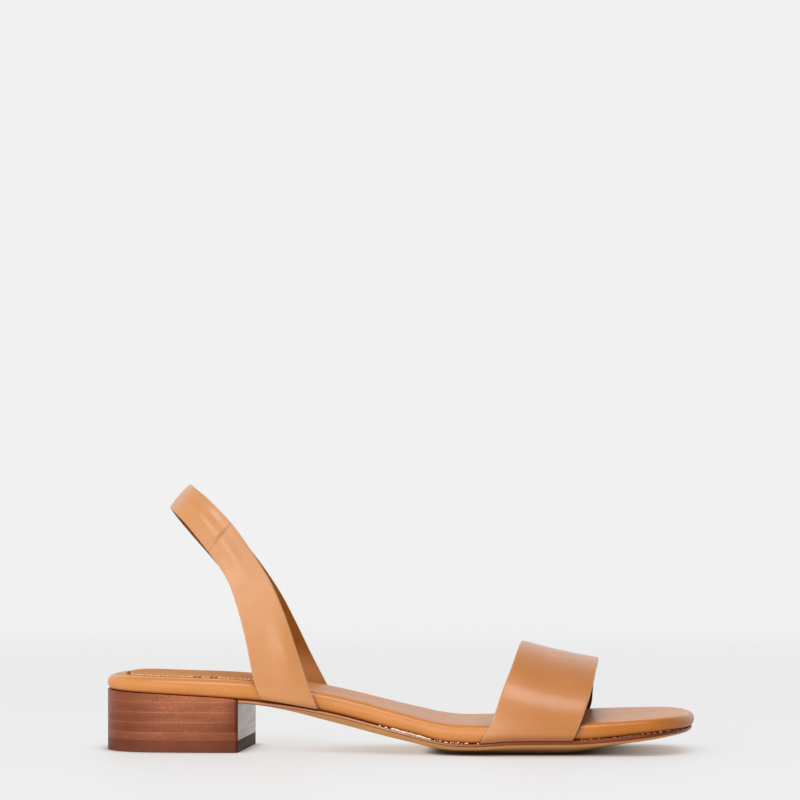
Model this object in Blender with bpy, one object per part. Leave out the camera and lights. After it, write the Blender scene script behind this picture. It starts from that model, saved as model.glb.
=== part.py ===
"""Slingback sandal for the right foot: padded footbed, wide front strap, sling and low stacked heel.

The shoe points along +X and stands on Z = 0, with its outer side at -Y. Sizes are in millimetres and
MM turns them into metres when a mesh is made. Places along the shoe are measured from the back of
the heel, and places across it from its centre line.
"""

import bmesh
import bpy
import numpy as np

MM = 0.001


def table(columns, *rows):
    """A small table as one array for each named column."""
    return dict(zip(columns.split(), np.array(rows, float).T))


# Driving dimensions: length, middle of the width from the centre line, and gap between fitted pieces
SHOE_LENGTH = 250.0
SIDE_MIDDLE = 0.5
FIT_GAP = 0.3
MERGE_DISTANCE = 0.0001
SHARP_ANGLE = 35.0

# Plan of the footbed: distance of each edge from the centre line, before the ends are rounded in
PLAN = table(
    "along lateral medial",
    (0, 28.0, 27.0),
    (20, 28.5, 27.5),
    (40, 28.8, 27.5),
    (58, 28.2, 26.2),
    (75, 27.0, 23.5),
    (95, 26.5, 21.2),
    (115, 28.5, 21.8),
    (135, 33.0, 26.5),
    (155, 37.8, 34.0),
    (172, 40.4, 39.2),
    (188, 40.6, 41.4),
    (205, 38.6, 41.0),
    (220, 35.6, 38.6),
    (235, 31.8, 35.2),
    (250, 27.8, 31.2),
)
HEEL_ROUND = 27.0
HEEL_POWER = 2.5
TOE_ROUND = 20.0
TOE_POWER = 2.5

# Side profile: underside of the footbed, its thickness, the depth of its hollow, height of the
# outsole's edge and height of the middle of the tread, which is cut off flat at the floor
PROFILE = table(
    "along seam padding hollow edge tread",
    (0, 25.9, 6.0, 0.9, 2.2, 21.5),
    (10, 25.5, 6.5, 0.9, 2.2, 21.3),
    (30, 24.5, 7.0, 0.9, 2.2, 20.9),
    (58, 22.8, 7.7, 0.7, 2.2, 20.1),
    (69, 21.8, 7.8, 0.6, 2.3, 19.1),
    (81, 20.2, 7.7, 0.5, 2.7, 17.1),
    (93, 18.2, 7.7, 0.4, 3.4, 14.4),
    (106, 15.4, 7.7, 0.3, 3.8, 11.2),
    (115, 13.1, 7.8, 0.3, 3.8, 8.8),
    (123, 11.1, 7.7, 0.3, 3.7, 6.6),
    (132, 9.0, 7.6, 0.3, 3.5, 4.2),
    (140, 7.0, 7.7, 0.3, 3.2, 2.1),
    (148, 5.7, 7.7, 0.3, 2.9, 0.3),
    (157, 5.4, 7.7, 0.3, 2.7, -0.6),
    (175, 6.8, 6.6, 0.3, 3.2, -0.6),
    (192, 7.1, 6.8, 0.3, 3.1, -0.3),
    (203, 7.2, 7.4, 0.3, 3.1, 0.8),
    (213, 7.8, 7.4, 0.3, 3.0, 2.6),
    (222, 8.7, 6.9, 0.3, 3.0, 4.3),
    (232, 9.7, 6.4, 0.2, 2.8, 6.2),
    (242, 10.6, 6.0, 0.2, 2.2, 7.8),
    (250, 11.0, 5.7, 0.1, 1.8, 8.9),
)

# Section of the padded footbed's edge: how far in and how high up, as a share of the padding
FOOTBED_SIDE = table(
    "inset rise",
    (1.5, 0.0),
    (0.6, 0.10),
    (0.0, 0.32),
    (0.0, 0.55),
    (0.5, 0.76),
    (1.7, 0.92),
    (3.6, 0.99),
)
FOOTBED_STATIONS = 44
SPINE_START = 26.0
SPINE_END = 228.0
UNDERSIDE_SHARE = 0.4
TOP_SHARES = (0.14, 0.38, 0.62, 0.86)

# Heel pad on the footbed
SOCK_INSET = 7.6
SOCK_FRONT = 82.0
SOCK_THICKNESS = 0.8
SOCK_SHARES = (0.0, 0.4, 0.8)
SOCK_STATIONS = 16

# Outsole, from the heel breast to the toe
OUTSOLE_TOE = 248.6
OUTSOLE_MARGIN = 0.6
OUTSOLE_SIDE = table(
    "inset drop",
    (0.35, 0.0),
    (0.0, 0.12),
    (0.0, 0.45),
    (0.45, 0.50),
    (1.5, 1.0),
)
TREAD_SHARES = table(
    "share sink",
    (0.22, 0.75),
    (0.5, 1.0),
)
OUTSOLE_STATIONS = 34

# Stacked heel: level lifts on a rubber top piece, and a wedge lift under the heel seat
BREAST = 58.5
BREAST_SKEW = 0.03
BREAST_SHOULDER = 1.0
HEEL_TAPER = 0.02
LIFT_LEVELS = (5.1, 8.5, 12.8, 17.1, 21.4)
HEEL_STATIONS = 16

# Foot form under the front strap: height of its crown, and the strap's two edges as they lean forward
INSTEP = table(
    "along crown",
    (160, 48.6),
    (176, 43.8),
    (192, 39.6),
    (208, 37.0),
    (216, 36.2),
)
FRONT_STRAP_EDGES = table(
    "rise back outer_front inner_front",
    (0.0, 162.0, 199.4, 200.6),
    (0.06, 164.0, 201.0, 201.8),
    (0.15, 166.2, 202.9, 203.2),
    (0.3, 168.5, 204.8, 204.5),
    (0.5, 170.9, 206.8, 205.7),
    (0.75, 174.0, 208.3, 207.0),
    (1.0, 176.5, 208.9, 208.9),
)
STRAP_THICKNESS = 1.8
STRAP_GAP = 0.35
STRAP_FOOT = 0.8
CROWN_SHIFT = 5.0
FORM_POWER = 2.3
TUCK_DEPTH = 0.8
TUCK_RISE = 0.06
FRONT_STRAP_STEPS = 40
FRONT_STRAP_COLUMNS = 6

# Sling: its rear and front edge from the outer base round the back to the inner base
SLING = table(
    "rear_along rear_side rear_up front_along front_side front_up",
    (69.0, -28.5, 22.8, 92.6, -27.8, 18.6),
    (66.7, -28.9, 27.0, 89.3, -28.1, 26.5),
    (64.6, -29.3, 35.0, 85.7, -28.7, 37.2),
    (62.6, -29.4, 45.4, 81.7, -29.1, 49.7),
    (60.3, -29.0, 55.0, 77.8, -28.9, 60.5),
    (56.8, -27.8, 66.3, 72.3, -28.0, 72.6),
    (51.3, -25.6, 76.7, 63.4, -25.9, 86.2),
    (45.5, -23.2, 84.8, 55.5, -23.4, 96.5),
    (36.4, -19.2, 95.4, 46.0, -19.6, 105.9),
    (30.0, -11.6, 100.8, 39.4, -12.0, 110.5),
    (26.9, 0.0, 102.0, 35.5, 0.0, 112.0),
    (27.9, 11.6, 98.0, 36.7, 12.0, 108.4),
    (33.0, 19.2, 90.4, 42.7, 19.6, 101.4),
    (41.0, 23.2, 80.6, 51.1, 23.4, 91.8),
    (49.7, 25.2, 69.7, 60.7, 25.4, 80.2),
    (57.1, 26.3, 57.3, 70.0, 26.0, 66.6),
    (61.9, 26.7, 45.4, 76.9, 25.6, 53.9),
    (66.1, 26.4, 33.6, 83.7, 24.6, 40.2),
    (68.9, 25.8, 27.0, 90.5, 23.2, 27.4),
    (71.9, 25.2, 22.0, 95.8, 22.5, 17.9),
)
OUTER_SEAM_ROW = 7
INNER_SEAM_ROW = 13
SEAM_SHARE = 0.02
SLING_CROWN = 0.5
SLEEVE_THICKNESS = 2.2
SLING_STEPS_PER_ROW = 3
SLING_COLUMNS = 4

# Colour and roughness of each material
LEATHER = ((0.60, 0.23, 0.075), 0.4)
SOCK_LEATHER = ((0.56, 0.22, 0.075), 0.5)
SOLE_TAN = ((0.42, 0.20, 0.09), 0.5)
HEEL_BROWN = ((0.33, 0.12, 0.065), 0.45)
TOP_PIECE_BROWN = ((0.20, 0.065, 0.04), 0.45)


def smooth(places, values, at):
    """Value at a place, on a smooth curve through the rows of two columns."""
    slopes = np.gradient(values, places)
    row = np.clip(np.searchsorted(places, at, side="right") - 1, 0, len(places) - 2)
    span = places[row + 1] - places[row]
    share = np.clip((at - places[row]) / span, 0, 1)
    rise = values[row + 1] - values[row]
    leave = slopes[row] * span - rise
    arrive = rise - slopes[row + 1] * span
    return values[row] + share * rise + share * (1 - share) * (leave * (1 - share) + arrive * share)


def profile(column, along):
    """Height or depth of the side profile at a place along the shoe."""
    return smooth(PROFILE["along"], PROFILE[column], along)


def middle(along):
    """Centre of the plan at a place along the shoe."""
    lateral = smooth(PLAN["along"], PLAN["lateral"], along)
    medial = smooth(PLAN["along"], PLAN["medial"], along)
    return (medial - lateral) / 2


def half_width(along):
    """Half the width of the plan at a place along the shoe, before the ends are rounded in."""
    lateral = smooth(PLAN["along"], PLAN["lateral"], along)
    medial = smooth(PLAN["along"], PLAN["medial"], along)
    return (medial + lateral) / 2


def rounded(distance, length, power):
    """Share of the full width at a distance from a rounded end."""
    return (1 - np.clip(1 - distance / length, 0, 1) ** power) ** (1 / power)


def edges(along, toe):
    """Lateral and medial edge of the plan, rounded in at the heel and at the given toe."""
    half = half_width(along) * rounded(along, HEEL_ROUND, HEEL_POWER)
    half = half * rounded(toe - along, TOE_ROUND, TOE_POWER)
    return middle(along) - half, middle(along) + half


def whole_outline():
    """Footbed outline: heel, outer side, toe and back along the inner side."""
    turn = np.linspace(0, np.pi, FOOTBED_STATIONS + 1)
    along = SHOE_LENGTH * (1 - np.cos(turn)) / 2
    lateral, medial = edges(along, SHOE_LENGTH)
    outer = np.column_stack([along, lateral])
    inner = np.column_stack([along, medial])
    return np.vstack([outer, inner[-2::-1]])


def breast(side):
    """Place of the slightly skewed heel breast at a distance across the shoe."""
    return BREAST + BREAST_SKEW * (side + PLAN["lateral"][0])


def fore_outline():
    """Outsole outline: from the heel breast along the outer side to the toe and back."""
    turn = np.linspace(0, np.pi / 2, OUTSOLE_STATIONS + 1)
    along = BREAST + (OUTSOLE_TOE - BREAST) * np.sin(turn)
    lateral, medial = edges(along, OUTSOLE_TOE)
    outer = np.column_stack([along, lateral])
    inner = np.column_stack([along, medial])
    return np.vstack([outer, inner[-2::-1]])


def heel_outline(front, stations):
    """Outline of the heel end: from the inner front corner round the back to the outer one."""
    turn = np.linspace(0, np.pi / 2, stations + 1)
    along = front * (1 - np.cos(turn))
    lateral, medial = edges(along, SHOE_LENGTH)
    inner = np.column_stack([along, medial])
    outer = np.column_stack([along, lateral])
    return np.vstack([inner[::-1], outer[1:]])


def inset(outline, distance):
    """An outline moved inwards by a distance, or outwards where it is negative."""
    run = np.gradient(outline, axis=0)
    if np.allclose(outline[0], outline[-1]):
        run[0] = run[-1] = outline[1] - outline[-2]
    run /= np.linalg.norm(run, axis=1, keepdims=True)
    inward = np.column_stack([-run[:, 1], run[:, 0]])
    return outline + inward * distance


def towards_spine(outline, share, start, end):
    """An outline drawn in by a share of the way to the middle line of the shoe."""
    along = np.clip(outline[:, 0], start, end)
    spine = np.column_stack([along, middle(along)])
    return outline + (spine - outline) * share


def at_height(outline, height):
    """A plan outline lifted to a height, one for all its points or one for each."""
    return np.column_stack([outline, np.broadcast_to(height, len(outline))])


def footbed_top(outline):
    """Height of the footbed's hollowed top at the points of a plan outline."""
    along, side = outline.T
    across = np.abs(side - middle(along)) / half_width(along)
    from_heel = np.clip(1 - along / HEEL_ROUND, 0, 1)
    from_toe = np.clip(1 - (SHOE_LENGTH - along) / TOE_ROUND, 0, 1)
    towards_edge = np.clip(across**2 + from_heel**2 + from_toe**2, 0, 1)
    sink = profile("hollow", along) * (1 - towards_edge) ** 2
    return profile("seam", along) + profile("padding", along) - sink


def solid(name, points, faces, finish, parent):
    """A closed, smooth-shaded object from points in millimetres."""
    colour, roughness = finish
    mesh = bpy.data.meshes.new(name)
    mesh.from_pydata((np.asarray(points) * MM).tolist(), [], faces)
    body = bmesh.new()
    body.from_mesh(mesh)
    bmesh.ops.remove_doubles(body, verts=body.verts, dist=MERGE_DISTANCE * MM)
    body.to_mesh(mesh)
    body.free()
    mesh.shade_smooth()
    mesh.set_sharp_from_angle(angle=np.radians(SHARP_ANGLE))
    material = bpy.data.materials.new(name)
    material.use_nodes = True
    shader = material.node_tree.nodes["Principled BSDF"]
    shader.inputs["Base Color"].default_value = (*colour, 1)
    shader.inputs["Roughness"].default_value = roughness
    shader.inputs["Metallic"].default_value = 0
    mesh.materials.append(material)
    piece = bpy.data.objects.new(name, mesh)
    piece.parent = parent
    bpy.context.scene.collection.objects.link(piece)
    return piece


def stacked(rings):
    """Points and faces of a body skinned upwards through rings, with a ladder of faces at each end."""
    count = len(rings[0])
    faces = []
    for level in range(len(rings) - 1):
        low = level * count
        high = low + count
        for place in range(count):
            after = (place + 1) % count
            faces.append((low + place, low + after, high + after, high + place))
    top = (len(rings) - 1) * count
    tip = count // 2
    for place in range(tip - 1):
        across = count - 1 - place
        faces.append((across, across - 1, place + 1, place))
        faces.append((top + place, top + place + 1, top + across - 1, top + across))
    faces.append((tip + 1, tip, tip - 1))
    faces.append((top + tip - 1, top + tip, top + tip + 1))
    return np.vstack(rings), faces


def band(inner, outer):
    """Points and faces of a closed strap between two grids of points."""
    rows, columns = inner.shape[:2]
    size = rows * columns
    faces = []
    for row in range(rows - 1):
        for column in range(columns - 1):
            corner = row * columns + column
            sheet = (corner, corner + 1, corner + columns + 1, corner + columns)
            faces.append(tuple(reversed(sheet)))
            faces.append(tuple(size + point for point in sheet))
    top = list(range(columns))
    right = [row * columns + columns - 1 for row in range(rows)]
    bottom = [(rows - 1) * columns + column for column in reversed(range(columns))]
    left = [row * columns for row in reversed(range(rows))]
    for side in (top, right, bottom, left):
        for here, after in zip(side, side[1:]):
            faces.append((here, after, size + after, size + here))
    return np.vstack([inner.reshape(-1, 3), outer.reshape(-1, 3)]), faces


def outward(grid):
    """Unit normals of a grid of points, on the side away from the foot."""
    normal = np.cross(np.gradient(grid, axis=1), np.gradient(grid, axis=0))
    return normal / np.linalg.norm(normal, axis=2, keepdims=True)


def make_footbed(parent):
    outline = whole_outline()
    foot = inset(outline, FOOTBED_SIDE["inset"][0])
    under = towards_spine(foot, UNDERSIDE_SHARE, SPINE_START, SPINE_END)
    rings = [at_height(under, profile("seam", under[:, 0]))]
    for distance, rise in zip(FOOTBED_SIDE["inset"], FOOTBED_SIDE["rise"]):
        edge = inset(outline, distance)
        low = profile("seam", edge[:, 0])
        rings.append(at_height(edge, low + (footbed_top(edge) - low) * rise))
    for share in TOP_SHARES:
        top = towards_spine(edge, share, SPINE_START, SPINE_END)
        rings.append(at_height(top, footbed_top(top)))
    return solid("footbed", *stacked(rings), LEATHER, parent)


def make_heel_sock(parent):
    outline = inset(heel_outline(SOCK_FRONT, SOCK_STATIONS), SOCK_INSET)
    rings = []
    for share in reversed(SOCK_SHARES):
        lower = towards_spine(outline, share, SPINE_START, SOCK_FRONT)
        rings.append(at_height(lower, footbed_top(lower) + FIT_GAP))
    for share in SOCK_SHARES:
        upper = towards_spine(outline, share, SPINE_START, SOCK_FRONT)
        rings.append(at_height(upper, footbed_top(upper) + FIT_GAP + SOCK_THICKNESS))
    return solid("heel_sock", *stacked(rings), SOCK_LEATHER, parent)


def make_outsole(parent):
    outline = fore_outline()
    ends = (BREAST, SPINE_END)

    def clear_of_heel(ring):
        """Keep the two rear corners, and the edge between them, along the skewed breast."""
        ring = ring.copy()
        ring[[0, -1], 0] = breast(ring[[0, -1], 1]) + FIT_GAP
        return ring

    upper = clear_of_heel(towards_spine(outline, UNDERSIDE_SHARE, *ends))
    rings = [at_height(upper, profile("seam", upper[:, 0]) - FIT_GAP)]
    for distance, drop in zip(OUTSOLE_SIDE["inset"], OUTSOLE_SIDE["drop"]):
        edge = clear_of_heel(inset(outline, distance - OUTSOLE_MARGIN))
        low = profile("seam", edge[:, 0]) - FIT_GAP - drop * profile("edge", edge[:, 0])
        rings.append(at_height(edge, low))
    for share, sink in zip(TREAD_SHARES["share"], TREAD_SHARES["sink"]):
        lower = clear_of_heel(towards_spine(edge, share, *ends))
        bevel = profile("seam", lower[:, 0]) - FIT_GAP - profile("edge", lower[:, 0])
        floor = np.maximum(profile("tread", lower[:, 0]), 0)
        rings.append(at_height(lower, bevel + (floor - bevel) * sink))
    return solid("outsole", *stacked(rings[::-1]), SOLE_TAN, parent)


def heel_ring(height, setback):
    """Outline of the tapered heel at a height, with its front along the breast."""
    top = PROFILE["seam"][0]
    ring = inset(heel_outline(BREAST, HEEL_STATIONS), HEEL_TAPER * (top - height))
    ring[[0, -1], 0] = breast(ring[[0, -1], 1]) - setback
    return ring


def make_heel(parent):
    levels = (0.0, *LIFT_LEVELS)
    names = ["heel_top_piece"] + [f"heel_lift_{number}" for number in range(1, len(LIFT_LEVELS))]
    for name, low, high in zip(names, levels, levels[1:]):
        finish = TOP_PIECE_BROWN if low == 0 else HEEL_BROWN
        rings = [at_height(heel_ring(level, 0), level) for level in (low, high)]
        solid(name, *stacked(rings), finish, parent)
    base = levels[-1]
    seat = heel_ring(base, BREAST_SHOULDER)
    shoulder = heel_ring(base, 0)
    seat_height = profile("seam", seat[:, 0]) - FIT_GAP
    rings = [
        at_height(shoulder, base),
        at_height(shoulder, base + (seat_height - base) / 2),
        at_height(seat, seat_height),
    ]
    solid(f"heel_lift_{len(LIFT_LEVELS)}", *stacked(rings), HEEL_BROWN, parent)


def front_strap_form():
    """Grid of points on the foot form under the front strap, from its outer to its inner base."""
    turn = np.linspace(0, np.pi, FRONT_STRAP_STEPS + 1)
    angle = (np.pi / 2 * (1 - np.cos(turn)))[:, None]
    rise = np.abs(np.sin(angle)) ** (2 / FORM_POWER)
    reach = np.sign(np.cos(angle)) * np.abs(np.cos(angle)) ** (2 / FORM_POWER)
    back, outer_front, inner_front = (
        smooth(FRONT_STRAP_EDGES["rise"], FRONT_STRAP_EDGES[name], rise)
        for name in ("back", "outer_front", "inner_front")
    )
    front = np.where(reach > 0, outer_front, inner_front)
    along = back + (front - back) * np.linspace(0, 1, FRONT_STRAP_COLUMNS + 1)
    base = profile("seam", along) + STRAP_FOOT
    crown = smooth(INSTEP["along"], INSTEP["crown"], along)
    tuck = TUCK_DEPTH * np.clip(1 - rise / TUCK_RISE, 0, 1) ** 2
    half = half_width(along) + STRAP_GAP - tuck
    side = middle(along) - half * reach + CROWN_SHIFT * np.sin(angle) ** 2
    return np.stack([along, side, base + (crown - base) * rise], axis=2)


def make_front_strap(parent):
    inner = front_strap_form()
    outer = inner + outward(inner) * STRAP_THICKNESS
    outer[[0, -1], :, 2] = inner[[0, -1], :, 2]
    return solid("front_strap", *band(inner, outer), LEATHER, parent)


def sling_grid(first, last):
    """Grid of points midway through the sling's wall, between two of its rows."""
    rows = np.arange(len(SLING["rear_along"]), dtype=float)
    steps = int(round((last - first) * SLING_STEPS_PER_ROW))
    places = np.linspace(first, last, steps + 1)

    def edge(name):
        """Points along the rear or the front edge."""
        ways = (SLING[f"{name}_{way}"] for way in ("along", "side", "up"))
        return np.column_stack([smooth(rows, way, places) for way in ways])

    share = np.linspace(0, 1, SLING_COLUMNS + 1)[None, :, None]
    flat = edge("rear")[:, None] * (1 - share) + edge("front")[:, None] * share
    return flat + outward(flat) * SLING_CROWN * 4 * share * (1 - share)


def make_sling_piece(name, first, last, thickness, parent):
    grid = sling_grid(first, last)
    half = outward(grid) * thickness / 2
    return solid(name, *band(grid - half, grid + half), LEATHER, parent)


def make_sling(parent):
    last = len(SLING["rear_along"]) - 1
    make_sling_piece("sling_strap_outer", 0, OUTER_SEAM_ROW - SEAM_SHARE, STRAP_THICKNESS, parent)
    make_sling_piece("sling_sleeve", OUTER_SEAM_ROW, INNER_SEAM_ROW, SLEEVE_THICKNESS, parent)
    make_sling_piece("sling_strap_inner", INNER_SEAM_ROW + SEAM_SHARE, last, STRAP_THICKNESS, parent)


def main():
    for item in list(bpy.data.objects):
        bpy.data.objects.remove(item)
    shoe = bpy.data.objects.new("sandal", None)
    shoe.location = (-SHOE_LENGTH / 2 * MM, -SIDE_MIDDLE * MM, 0)
    bpy.context.scene.collection.objects.link(shoe)
    make_footbed(shoe)
    make_heel_sock(shoe)
    make_outsole(shoe)
    make_heel(shoe)
    make_front_strap(shoe)
    make_sling(shoe)


main()
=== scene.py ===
"""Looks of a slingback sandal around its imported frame: straps, padded footbed and stacked heel.

Sizes are in millimetres, and those of the stage in metres. Places along the shoe are measured from
the back of the heel and places across it from its centre line, as in the part's source. MM and
ORIGIN turn them into the row frame.
"""

import bpy
import numpy as np
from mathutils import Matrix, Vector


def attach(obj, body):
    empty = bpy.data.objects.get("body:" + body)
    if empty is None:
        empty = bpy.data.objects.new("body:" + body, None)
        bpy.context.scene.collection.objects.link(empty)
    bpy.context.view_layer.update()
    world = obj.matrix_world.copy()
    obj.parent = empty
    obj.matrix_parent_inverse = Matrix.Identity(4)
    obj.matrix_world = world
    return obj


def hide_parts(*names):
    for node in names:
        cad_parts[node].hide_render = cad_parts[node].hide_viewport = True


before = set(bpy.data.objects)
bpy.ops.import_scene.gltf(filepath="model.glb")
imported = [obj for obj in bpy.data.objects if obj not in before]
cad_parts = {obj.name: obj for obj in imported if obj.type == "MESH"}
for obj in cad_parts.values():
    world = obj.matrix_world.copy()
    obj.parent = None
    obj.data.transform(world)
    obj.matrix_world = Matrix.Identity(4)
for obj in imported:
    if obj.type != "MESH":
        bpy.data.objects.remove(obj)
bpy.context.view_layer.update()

MM = 0.001
ORIGIN = np.array([125.0, 0.5, 0.0])
RANDOM = np.random.default_rng(11)


def table(columns, *rows):
    """A small table as one array for each named column."""
    return dict(zip(columns.split(), np.array(rows, float).T))


# Angles in degrees from which an edge is shaded sharp
SHARP_ANGLE = 50
HEEL_SHARP_ANGLE = 40
STRAP_SHARP_ANGLE = 70

# Shape of the sandal
SHOE_LENGTH = 250.0
FIT_GAP = 0.3
PLAN = table(
    "along lateral medial",
    (0, 28.0, 27.0),
    (20, 28.5, 27.5),
    (40, 28.8, 27.5),
    (58, 28.2, 26.2),
    (75, 27.0, 23.5),
    (95, 26.5, 21.2),
    (115, 28.5, 21.8),
    (135, 33.0, 26.5),
    (155, 37.8, 34.0),
    (172, 40.4, 39.2),
    (188, 40.6, 41.4),
    (205, 38.6, 41.0),
    (220, 35.6, 38.6),
    (235, 31.8, 35.2),
    (250, 27.8, 31.2),
)
HEEL_ROUND = 27.0
TOE_ROUND = 20.0
END_POWER = 2.5
PROFILE = table(
    "along seam padding hollow edge tread",
    (0, 25.9, 6.0, 0.9, 2.2, 21.5),
    (10, 25.5, 6.5, 0.9, 2.2, 21.3),
    (30, 24.5, 7.0, 0.9, 2.2, 20.9),
    (58, 22.8, 7.7, 0.7, 1.6, 20.1),
    (69, 21.8, 7.8, 0.6, 1.7, 19.1),
    (81, 20.2, 7.7, 0.5, 2.4, 17.1),
    (93, 18.2, 7.7, 0.4, 3.4, 14.4),
    (106, 15.4, 7.7, 0.3, 3.8, 11.2),
    (115, 13.1, 7.8, 0.3, 3.8, 8.8),
    (123, 11.1, 7.7, 0.3, 3.7, 6.6),
    (132, 9.0, 7.6, 0.3, 3.5, 4.2),
    (140, 7.0, 7.7, 0.3, 3.2, 2.1),
    (148, 5.7, 7.7, 0.3, 2.9, 0.3),
    (157, 5.4, 7.7, 0.3, 2.7, -0.6),
    (175, 6.8, 6.6, 0.3, 2.9, -0.6),
    (192, 7.1, 6.8, 0.3, 2.8, -0.3),
    (203, 7.2, 7.4, 0.3, 2.8, 0.8),
    (213, 7.8, 7.4, 0.3, 2.8, 2.6),
    (222, 8.7, 6.9, 0.3, 3.0, 4.3),
    (232, 9.7, 6.4, 0.2, 2.8, 6.2),
    (242, 10.6, 6.0, 0.2, 2.2, 7.8),
    (250, 11.0, 5.7, 0.1, 1.8, 8.9),
)
FOOTBED_SIDE = table(
    "inset rise",
    (1.5, 0.0),
    (0.6, 0.10),
    (0.0, 0.32),
    (0.0, 0.55),
    (0.5, 0.76),
    (1.7, 0.92),
    (3.6, 0.99),
)
FOOTBED_STATIONS = 130
FOOTBED_SIDE_RINGS = 22
FOOTBED_TOP_SHARES = (0.05, 0.12, 0.2, 0.3, 0.42, 0.56, 0.7, 0.84)
SPINE_START = 26.0
SPINE_END = 228.0
UNDERSIDE_SHARE = 0.4
# Painted shade and matt wear of the footbed, with the places or rings where each starts and is full
# The top is matt at the heel and glossier from the ball on, the foot of the side is matt all round
TOP_RINGS = (FOOTBED_SIDE_RINGS - 1, FOOTBED_SIDE_RINGS + 1)
MATT_HEEL = (150.0, 85.0)
MATT_LEAST = 0.45
MATT_RINGS = (14, 9)
# Painted shade: the side is darker towards the toe
TOE_SHADE = 0.85
TOE_SHADE_SPAN = (196.0, 216.0)
TOE_SHADE_RINGS = (18.5, 15.5)
# Painted shadow on the top under the front strap and a little way out from its front edge
STRAP_SHADE = table(
    "along share",
    (158, 0.0),
    (166, 0.5),
    (174, 1.2),
    (203.5, 1.4),
    (207, 0.8),
    (213, 0.0),
)
# Painted shadow on the side close to the strap's front edge
SIDE_SHADE = table("along share", (190, 0.0), (198, 1.0), (201.5, 1.0), (205, 0.0))
# Painted shade makes the side darker still round the tip
TIP_SHADE = 0.5
TIP_SHADE_SPAN = (230.0, 246.0)
# The top leans outwards in front of the strap: rise of its inner edge, and fall of its outer one
TOE_LEAN = table("along rise", (190, 0.0), (203, 0.6), (222, 0.6), (240, 0.3), (250, 0.0))

SOCK_INSET = 7.6
SOCK_FRONT = 82.0
SOCK_LIFT = 0.45
SOCK_INNER_LIFT = 1.3
SOCK_TILT_REACH = 14.0
SOCK_SINK = 0.25
SOCK_STATIONS = 60
# The sock's edge, ring by ring: its inset, its rise and the painted shadow line along it
SOCK_EDGE = table(
    "inset rise shade",
    (0.0, 0.0, 1.0),
    (0.05, 0.45, 1.0),
    (0.25, 0.68, 0.8),
    (0.6, 0.72, 0.1),
    (1.0, 0.62, 0.0),
    (1.7, 0.76, 0.0),
    (3.4, 0.92, 0.0),
    (5.0, 1.0, 0.0),
)
SOCK_TOP_SHARES = (0.15, 0.35, 0.6, 0.85)
STITCH_INSET = 1.0
STITCH_BED = 0.62
STITCH_PITCH = 1.75
STITCH_LENGTH = 1.4
STITCH_RADIUS = 0.34
STITCH_PROUD = 0.7
STITCH_POINTS = 9
# Small rounded bodies of thread and glue: points round them, and the form of their ends
BEAD_SIDES = 8
BEAD_POWER = 4
BEAD_TIP = 0.08
# Stretches along the shoe where the thread is darker
DARK_STITCHES = table("start end", (7.0, 11.5), (38.0, 41.5), (45.0, 49.0))

OUTSOLE_TOE = 248.6
OUTSOLE_MARGIN = 0.6
OUTSOLE_STATIONS = 130
# Side of the outsole's edge: a painted bead above bare leather, each by shares of its own height
OUTSOLE_SIDE = table(
    "inset share painted crest",
    (0.8, 0.0, 1, 0.0),
    (0.35, 0.06, 1, 0.0),
    (0.1, 0.2, 1, 0.3),
    (-0.02, 0.42, 1, 1.0),
    (0.0, 0.64, 1, 1.0),
    (0.16, 0.83, 1, 0.3),
    (0.5, 0.96, 1, 0.0),
    (0.58, 1.0, 1, 0.0),
    (0.5, 0.05, 0, 0.0),
    (0.52, 0.17, 0, 0.0),
    (0.75, 0.4, 0, 0.0),
    (1.1, 0.7, 0, 0.0),
    (1.4, 0.9, 0, 0.0),
    (1.75, 1.0, 0, 0.0),
)
# Height of the paint's bead as a share of the edge, and how strongly a painted highlight lightens
# its crest
PAINT = table(
    "along share rubbed",
    (58, 0.95, 0.75),
    (72, 0.8, 0.95),
    (82, 0.5, 1.0),
    (92, 0.38, 1.0),
    (125, 0.35, 1.0),
    (145, 0.42, 0.5),
    (165, 0.52, 0.1),
    (250, 0.58, 0.0),
)
# The paint is darker towards the toe
DARK_PAINT_SPAN = (212.0, 242.0)
DARK_PAINT_SHARE = 0.65
# Beads of glue in the seam of the outer side: where they lie, how closely and how large
GLUE = table(
    "start end pitch size",
    (118.8, 119.3, 1.0, 0.46),
    (122.0, 122.5, 1.0, 0.46),
    (124.5, 141.0, 0.55, 0.42),
    (142.0, 156.5, 1.2, 0.27),
    (161.0, 161.5, 1.0, 0.3),
    (204.0, 247.0, 1.6, 0.15),
)
GLUE_INSET = 0.15
GLUE_RISE = 0.15
# Ranges within which the beads differ: size, length by their size, place by the pitch, and height
GLUE_SIZES = (0.6, 1.1)
GLUE_LENGTHS = (2.0, 4.4)
GLUE_SHIFTS = (-0.4, 0.4)
GLUE_RISES = (-0.1, 0.25)
GLUE_POINTS = 7
# Underside of the outsole, by shares of the way in: how far it has sunk from the edge to the tread
TREAD_SHARES = table("share sink", (0.08, 0.12), (0.22, 0.48), (0.35, 0.84), (0.5, 1.0))

BREAST = 58.5
BREAST_SKEW = 0.03
BREAST_SHOULDER = 1.0
SHOULDER_RISES = (0.5, 1.0)
LIFT_LEVELS = (5.1, 8.5, 12.8, 17.1, 21.4)
# Each layer from the top piece up: how light it is, partly its own tone and partly painted light,
# and where, how steeply and how far it darkens towards the breast, partly burnish and partly
# painted shade
HEEL_LAYERS = table(
    "tone start power share",
    (0.0, 25.0, 1.0, 0.85),
    (0.6, 25.0, 1.0, 0.75),
    (0.0, 40.0, 2.0, 1.0),
    (0.35, 44.0, 3.0, 1.0),
    (0.55, 44.0, 3.0, 1.0),
    (1.0, 46.0, 3.0, 0.8),
)
# Painted shade in a band round the back of the heel: where it starts and where it is full
BACK_BAND = (27.0, 11.0)
BACK_BAND_SHARE = 0.6
HEEL_STATIONS = 60
LIFT_RISES = (0.0, 0.12, 0.5, 0.88, 0.95, 1.0)
CORNER_ROUND = 1.4
CORNER_TURN = np.linspace(0, 1, 6)

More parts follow.
